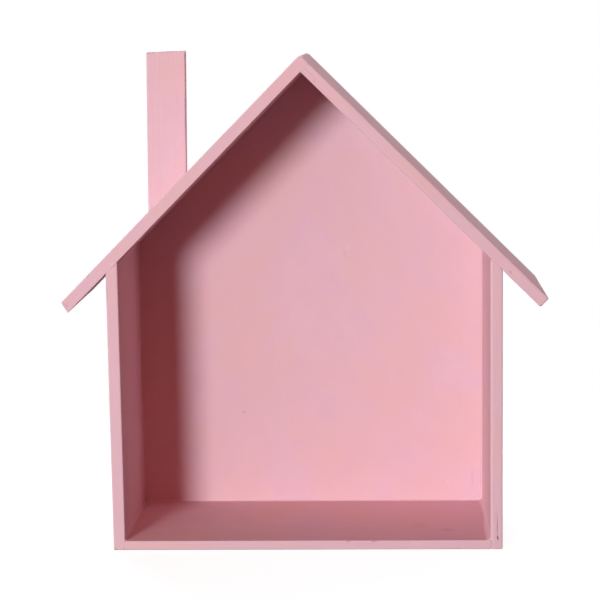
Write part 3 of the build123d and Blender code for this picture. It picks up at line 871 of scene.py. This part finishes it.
def turned(radii, heights):
    """Rings round an upright line: each has its radius and its height, and points evenly round it."""
    angle = np.linspace(0, 2 * pi, TURNED_COLUMNS, endpoint=False)
    columns = [np.array(values, float)[:, None] for values in (radii, heights)]
    radius, height, angle = np.broadcast_arrays(*columns, angle)
    return np.stack([radius * np.cos(angle), height, radius * np.sin(angle)], -1)


def arc(centre, radius, start_deg, end_deg, steps):
    """Points on an arc about a centre in a plane, from one angle to another."""
    angle = np.radians(np.linspace(start_deg, end_deg, steps + 1))
    return np.array(centre) + radius * np.stack([np.cos(angle), np.sin(angle)], 1)


def pin(x, z):
    """Pin from the middle of its head to its tip, standing at a place on the panel's back."""
    crown = arc((PIN_HEAD_RADIUS - PIN_DOME, 0), PIN_DOME, 90, 0, PIN_DOME_STEPS)
    radii = [PIN_TIP_RADIUS, PIN_HEAD_RADIUS / 2, *crown[:, 0], PIN_HEAD_RADIUS, PIN_SHANK_RADIUS,
             PIN_SHANK_RADIUS, PIN_TIP_RADIUS]
    heights = [PIN_DOME, PIN_DOME, *crown[:, 1], -PIN_HEAD_THICKNESS, -PIN_HEAD_THICKNESS - PIN_NECK,
               PIN_TIP_LENGTH - PIN_LENGTH, -PIN_LENGTH]
    return turned(radii, heights) + (x, panel_high.y - PIN_DOME / 2, z)


pin_mesh = swept_mesh("pins", [pin(x, z) for x, z in pin_places])
add_piece("back_panel_pins_driven", pin_mesh, drawn_wire, "shelf", "brad_steel", "back_panel_pins")


# Hanger straps
# Strips of thin zinc-plated steel, folded double round the straight bar of a ring, so that the bar turns in
# the fold. Each strap lies flat on the back panel behind a side wall, and two screws hold it.
ZINC_BRIGHT = "#B2B5B7"
ZINC_DULL = "#85898B"
SPANGLE = 1.6
PRESSED_RELIEF = 0.012
SHEET = 0.7
SHEET_ARRIS = 0.15
STRAP_END_RADIUS = 2.0
FOLD_BEND = 0.6
STRAP_STEP = 1.0
STRAP_END_ROWS = (0.0, 0.15, 0.4, 0.7, 1.1, 1.5)
STRAP_ARC_STEPS, FOLD_BEND_STEPS = 18, 6
ZINC_ROUGHNESS = (0.28, 0.46)

strap_low, strap_high = node_corners("right_hanger_strap")
hanger_x = (strap_low.x + strap_high.x) / 2
barrel_radius = (strap_high.y - strap_low.y) / 2
hanger_height = strap_high.z - barrel_radius
strap_length = hanger_height - strap_low.z
strap_half_width = (strap_high.x - strap_low.x) / 2

# Zinc plating: a pale, slightly blue metal with soft dull patches about as wide as its crystals
zinc = bare_metal("zinc_plated_sheet_steel", ZINC_BRIGHT, ZINC_DULL, SPANGLE, ZINC_ROUGHNESS, PRESSED_RELIEF)


def carried(line, tangent, out):
    """Both coordinates of a section's points, which lie beside a flat line, each at its own distance."""
    tangent = tangent / np.linalg.norm(tangent, axis=1, keepdims=True)
    normal = np.stack([-tangent[:, 1], tangent[:, 0]], 1)
    points = line[:, None, :] + out[:, None] * normal[:, None, :]
    return points[..., 0], points[..., 1]


def strap_line():
    """Middle line of the folded sheet, as places back and up from the bar's height on the panel. It runs up
    the inner leaf, round the bar, and through a small reverse bend down the outer leaf."""
    bar = np.array((barrel_radius, 0.0))
    outer_leaf = 1.5 * SHEET
    reach = barrel_radius - SHEET / 2 + FOLD_BEND
    sideways = outer_leaf + FOLD_BEND - barrel_radius
    bend = bar + (sideways, -sqrt(reach ** 2 - sideways ** 2))
    touch = degrees(atan2(bend[1] - bar[1], bend[0] - bar[0]))
    rows = np.arange(STRAP_END_RADIUS, strap_length + bend[1], STRAP_STEP)
    ups = np.concatenate([STRAP_END_ROWS, rows]) - strap_length
    inner = np.stack([np.full(len(ups), SHEET / 2), ups], 1)
    outer = np.stack([np.full(len(ups), outer_leaf), ups[::-1]], 1)
    barrel = arc(bar, barrel_radius - SHEET / 2, 180, touch, STRAP_ARC_STEPS)
    reverse = arc(bend, FOLD_BEND, touch + 180, 180, FOLD_BEND_STEPS)[1:]
    return np.concatenate([inner, barrel, reverse, outer])


def strap(side):
    """Sheet's section, a rectangle with rounded corners, carried along the middle line. Its half width
    shrinks towards both ends by a quarter circle, which rounds the leaves' corners."""
    line = strap_line()
    from_end = np.clip(line[:, 1] + strap_length, 0, STRAP_END_RADIUS)
    half = strap_half_width - STRAP_END_RADIUS
    half = half + np.sqrt(STRAP_END_RADIUS ** 2 - (STRAP_END_RADIUS - from_end) ** 2)
    angle = np.radians(np.add.outer([0, 90, 180, 270], [0, 30, 60, 90])).ravel()
    x_side = np.repeat([1, -1, -1, 1], 4)
    y_side = np.repeat([1, 1, -1, -1], 4)
    across = x_side * (half[:, None] - SHEET_ARRIS) + SHEET_ARRIS * np.cos(angle)
    through = y_side * (SHEET / 2 - SHEET_ARRIS) + SHEET_ARRIS * np.sin(angle)
    back, up = carried(line, np.gradient(line, axis=0), through)
    return np.stack([across + side * hanger_x, back + panel_high.y, up + hanger_height], -1)


for side_name, side in SIDES.items():
    add_piece(side_name + "_hanger_strap_folded", swept_mesh("strap", [strap(side)]), zinc, "shelf",
              "zinc_steel", side_name + "_hanger_strap")


# Hanger rings
# Plated steel wire, bent to a straight bar and a round bow, with its ends butted in the strap's fold. A ring
# hangs down on its strap, and swings up when the shelf is hung on a screw.
WIRE_ZINC = "#AEB1B3"
WIRE_ZINC_DULL = "#8B8F91"
RING_WIRE = 0.8
RING_CORNER = 1.2
RING_TILT_DEG = 4.5
RING_COLUMNS = 20
RING_BAR_POINTS, RING_CORNER_STEPS, RING_BOW_STEPS = 3, 8, 40
RING_PATCH = 1.1
RING_ROUGHNESS = (0.18, 0.32)
RING_RELIEF = 0.006
ring_low, ring_high = node_corners("right_hanger_ring")
ring_half_width = (ring_high.x - ring_low.x) / 2 - RING_WIRE
ring_tilt = radians(RING_TILT_DEG)
ring_height = (hanger_height - ring_low.z - RING_WIRE) / cos(ring_tilt)


def ring_line():
    """Closed middle line of the wire, across and up from the bar's middle: a bar, two rounded corners, two
    legs and a half circle."""
    corner_x = ring_half_width - RING_CORNER
    bow_z = ring_half_width - ring_height
    across = np.linspace(-corner_x, corner_x, RING_BAR_POINTS + 2)[1:-1]
    bar = np.stack([across, np.zeros(RING_BAR_POINTS)], 1)
    right_corner = arc((corner_x, -RING_CORNER), RING_CORNER, 90, 0, RING_CORNER_STEPS)
    bow = arc((0, bow_z), ring_half_width, 0, -180, RING_BOW_STEPS)
    left_corner = arc((-corner_x, -RING_CORNER), RING_CORNER, 180, 90, RING_CORNER_STEPS)
    return np.concatenate([bar, right_corner, bow, left_corner])


def ring(side):
    """Round section carried along the closed line, then tilted about the bar so that the bow clears the
    strap."""
    line = ring_line()
    angle = np.linspace(0, 2 * pi, RING_COLUMNS, endpoint=False)
    out, back = RING_WIRE * np.cos(angle), RING_WIRE * np.sin(angle)
    across, up = carried(line, np.roll(line, -1, 0) - np.roll(line, 1, 0), out)
    tilted_back = back * cos(ring_tilt) - up * sin(ring_tilt)
    tilted_up = back * sin(ring_tilt) + up * cos(ring_tilt)
    centre = (side * hanger_x, panel_high.y + barrel_radius, hanger_height)
    return np.stack([across, tilted_back, tilted_up], -1) + centre


# Plated wire: brighter and smoother than the sheet, because the wire was drawn before it was plated
plated_wire = bare_metal("zinc_plated_steel_wire", WIRE_ZINC, WIRE_ZINC_DULL, RING_PATCH, RING_ROUGHNESS,
                         RING_RELIEF)
for side_name, side in SIDES.items():
    add_piece(side_name + "_hanger_ring_bent", swept_mesh("ring", [ring(side)], True), plated_wire,
              side_name + "_ring", "zinc_steel", side_name + "_hanger_ring")


# Hanger screws
# Pan-head wood screws with a cross recess, plated, two through each strap. Each stopped at its own angle.
SCREW_ZINC = "#B9B7AC"
SCREW_ZINC_DULL = "#8F8D84"
SCREW_DROPS = (14.2, 19.6)
SCREW_TURNS_DEG = (12.0, 51.0, 78.0, 33.0)
SCREW_HEAD_RADIUS, SCREW_HEAD_HEIGHT, SCREW_HEAD_ROUNDING = 2.2, 1.2, 0.7
RECESS_LENGTH, RECESS_WIDTH, RECESS_DEPTH = 2.4, 0.55, 0.7
RECESS_TAPER, RECESS_MIDDLE = 0.75, 0.05
RECESS_EDGE = (0.97, 1.04)
RECESS_EDGE_DROP = 0.06
RECESS_CORNER_STEPS, RECESS_END_STEPS = 4, 5
HEAD_RINGS = (0.3, 0.65)
HEAD_STEPS = 6
HEAD_FOOT = 0.05
THREAD_RADIUS, THREAD_DEPTH, THREAD_PITCH = 1.2, 0.35, 1.1
THREAD_STEP = 0.22
THREAD_START = 0.4
SCREW_LENGTH = 13.0
TIP_LENGTH, TIP_SHARE = 2.5, 0.04
SHANK_GAP = 0.01
SCREW_PATCH = 0.9
SCREW_ROUGHNESS = (0.22, 0.38)
SCREW_RELIEF = 0.01


def cross_outline():
    """Angles round a cross and its radius at each: half the arm's length over the cosine at the arm's end,
    and half the arm's width over the sine at its sides."""
    arm_deg = degrees(atan2(RECESS_WIDTH, RECESS_LENGTH))
    quarter = np.concatenate([np.linspace(-45, -arm_deg, RECESS_CORNER_STEPS, endpoint=False),
                              np.linspace(-arm_deg, arm_deg, RECESS_END_STEPS, endpoint=False),
                              np.linspace(arm_deg, 45, RECESS_END_STEPS, endpoint=False)])
    local = np.radians(np.tile(quarter, 4))
    angle = local + np.repeat(np.radians([0, 90, 180, 270]), len(quarter))
    at_end = np.abs(local) <= radians(arm_deg) + 1e-6
    sides = np.abs(np.sin(np.where(at_end, 1.0, local)))
    return angle, np.where(at_end, RECESS_LENGTH / 2 / np.cos(local), RECESS_WIDTH / 2 / sides)


def screw(turn_deg):
    """Rings round the screw's line. Inside the head each ring has the outline of a cross. The outlines pass
    into circles, go over the rounded rim and under the head, and the shank's radius follows a helix."""
    angle, cross = cross_outline()
    flat_radius = SCREW_HEAD_RADIUS - SCREW_HEAD_ROUNDING
    rim = arc((flat_radius, SCREW_HEAD_HEIGHT - SCREW_HEAD_ROUNDING), SCREW_HEAD_ROUNDING, 90, 0, HEAD_STEPS)
    floor_height = SCREW_HEAD_HEIGHT - RECESS_DEPTH
    edge = cross * RECESS_EDGE[1]
    rows = [(cross * RECESS_MIDDLE, floor_height), (cross * RECESS_TAPER, floor_height),
            (cross * RECESS_EDGE[0], SCREW_HEAD_HEIGHT - RECESS_EDGE_DROP), (edge, SCREW_HEAD_HEIGHT)]
    rows += [(edge * (1 - share) + flat_radius * share, SCREW_HEAD_HEIGHT) for share in HEAD_RINGS]
    circles = [*rim, (SCREW_HEAD_RADIUS, HEAD_FOOT), (SCREW_HEAD_RADIUS - HEAD_FOOT, 0.0),
               (THREAD_RADIUS, -SHANK_GAP)]
    rows += [(np.full_like(angle, radius), height) for radius, height in circles]
    depths = np.arange(THREAD_START, SCREW_LENGTH, THREAD_STEP)
    phase = (depths[:, None] / THREAD_PITCH + angle / (2 * pi)) % 1
    thread = THREAD_RADIUS - THREAD_DEPTH * np.clip(np.abs(phase - 0.5) * 2, 0, 1)
    thread = thread * np.clip((SCREW_LENGTH - depths[:, None]) / TIP_LENGTH, TIP_SHARE, 1)
    radii = np.concatenate([np.stack([radius for radius, _ in rows]), thread])
    heights = np.concatenate([[height for _, height in rows], -depths])
    angle = angle + radians(turn_deg)
    heights = np.broadcast_to(heights[:, None], radii.shape)
    return np.stack([radii * np.cos(angle), heights, radii * np.sin(angle)], -1)


screw_places = [(side * hanger_x, hanger_height - drop) for side in (-1, 1) for drop in SCREW_DROPS]
screw_seat = panel_high.y + 2 * SHEET
screws = [screw(turn) + (x, screw_seat, z) for (x, z), turn in zip(screw_places, SCREW_TURNS_DEG)]
# Plated screws: a brighter zinc, its thin cold-headed skin only a little rough
plated_screw = bare_metal("zinc_plated_screw_steel", SCREW_ZINC, SCREW_ZINC_DULL, SCREW_PATCH,
                          SCREW_ROUGHNESS, SCREW_RELIEF)
screw_mesh = swept_mesh("screws", screws)
add_piece("hanger_screws_driven", screw_mesh, plated_screw, "shelf", "zinc_steel", "hanger_screws")


# Wall bumpers
# Soft pale rubber pads, punched from sheet with a moulded rim and stuck on the back panel's lower corners,
# so that the shelf hangs level and doesn't mark the wall.
RUBBER = "#D9D4CB"
RUBBER_GREY = "#BDB6AC"
RUBBER_ROUNDING = 0.8
RUBBER_DISH = 0.2
RUBBER_FOOT = 0.25
RUBBER_SPECK, DUST_PATCH = 0.5, 2.5
RUBBER_RELIEF = 0.02
RUBBER_ROUGHNESS = (0.55, 0.75)
RUBBER_GLOW_REACH = (0.8 * MM, 0.7 * MM, 0.5 * MM)
PAD_RINGS, PAD_MIDDLE = 10, 0.01
PAD_RIM_STEPS = 8
FOOT_INSET, FOOT_RISE, FOOT_BURIED = 0.12, 0.08, 0.15

pad_low, pad_high = node_corners("right_wall_bumper")
pad_x, pad_z = (pad_low.x + pad_high.x) / 2, (pad_low.z + pad_high.z) / 2
pad_radius = (pad_high.x - pad_low.x) / 2
pad_height = pad_high.y - pad_low.y


def soft_rubber():
    """Moulded rubber: a pale, slightly warm body with a matt bloom, greyer where dust clings, and a fine
    pebble that keeps its gloss broad."""
    material = new_material("pale_moulded_rubber")
    tree = material.node_tree
    place = add_node(tree, "ShaderNodeTexCoord").outputs["Object"]
    specks = patches(tree, place, [RUBBER_SPECK] * 3, 2)
    dust = patches(tree, place, [DUST_PATCH] * 3, 3)
    tone = coated(tree, RUBBER, [(dust, NOISE_CONTRAST, (0.0, 0.8), RUBBER_GREY)])
    normal = raised(tree, [(specks, RUBBER_RELIEF, 1.0)])
    body = {"IOR": 1.5, "Specular IOR Level": 0.35, "Subsurface Weight": 0.12,
            "Subsurface Radius": RUBBER_GLOW_REACH, "Subsurface Scale": 1.0}
    return finished(material, body, {"Base Color": tone, "Normal": normal}, dust, RUBBER_ROUGHNESS)


def pad(side):
    """Pad from the middle of its dished face, over its round rim and down to a foot as thin as its tape."""
    flat_radius = pad_radius - RUBBER_ROUNDING
    rim = arc((flat_radius, pad_height - RUBBER_ROUNDING), RUBBER_ROUNDING, 90, 0, PAD_RIM_STEPS)
    share = np.linspace(PAD_MIDDLE, 1, PAD_RINGS)[:-1]
    dish = pad_height - RUBBER_DISH * (1 - share ** 2) ** 2
    radii = [*flat_radius * share, *rim[:, 0], pad_radius, pad_radius - FOOT_INSET, pad_radius - FOOT_INSET]
    heights = [*dish, *rim[:, 1], RUBBER_FOOT + FOOT_RISE, RUBBER_FOOT, -FOOT_BURIED]
    return turned(radii, heights) + (side * pad_x, pad_low.y, pad_z)


rubber = soft_rubber()
for side_name, side in SIDES.items():
    add_piece(side_name + "_wall_bumper_stuck", swept_mesh("pad", [pad(side)]), rubber, "shelf", "pad_rubber",
              side_name + "_wall_bumper")
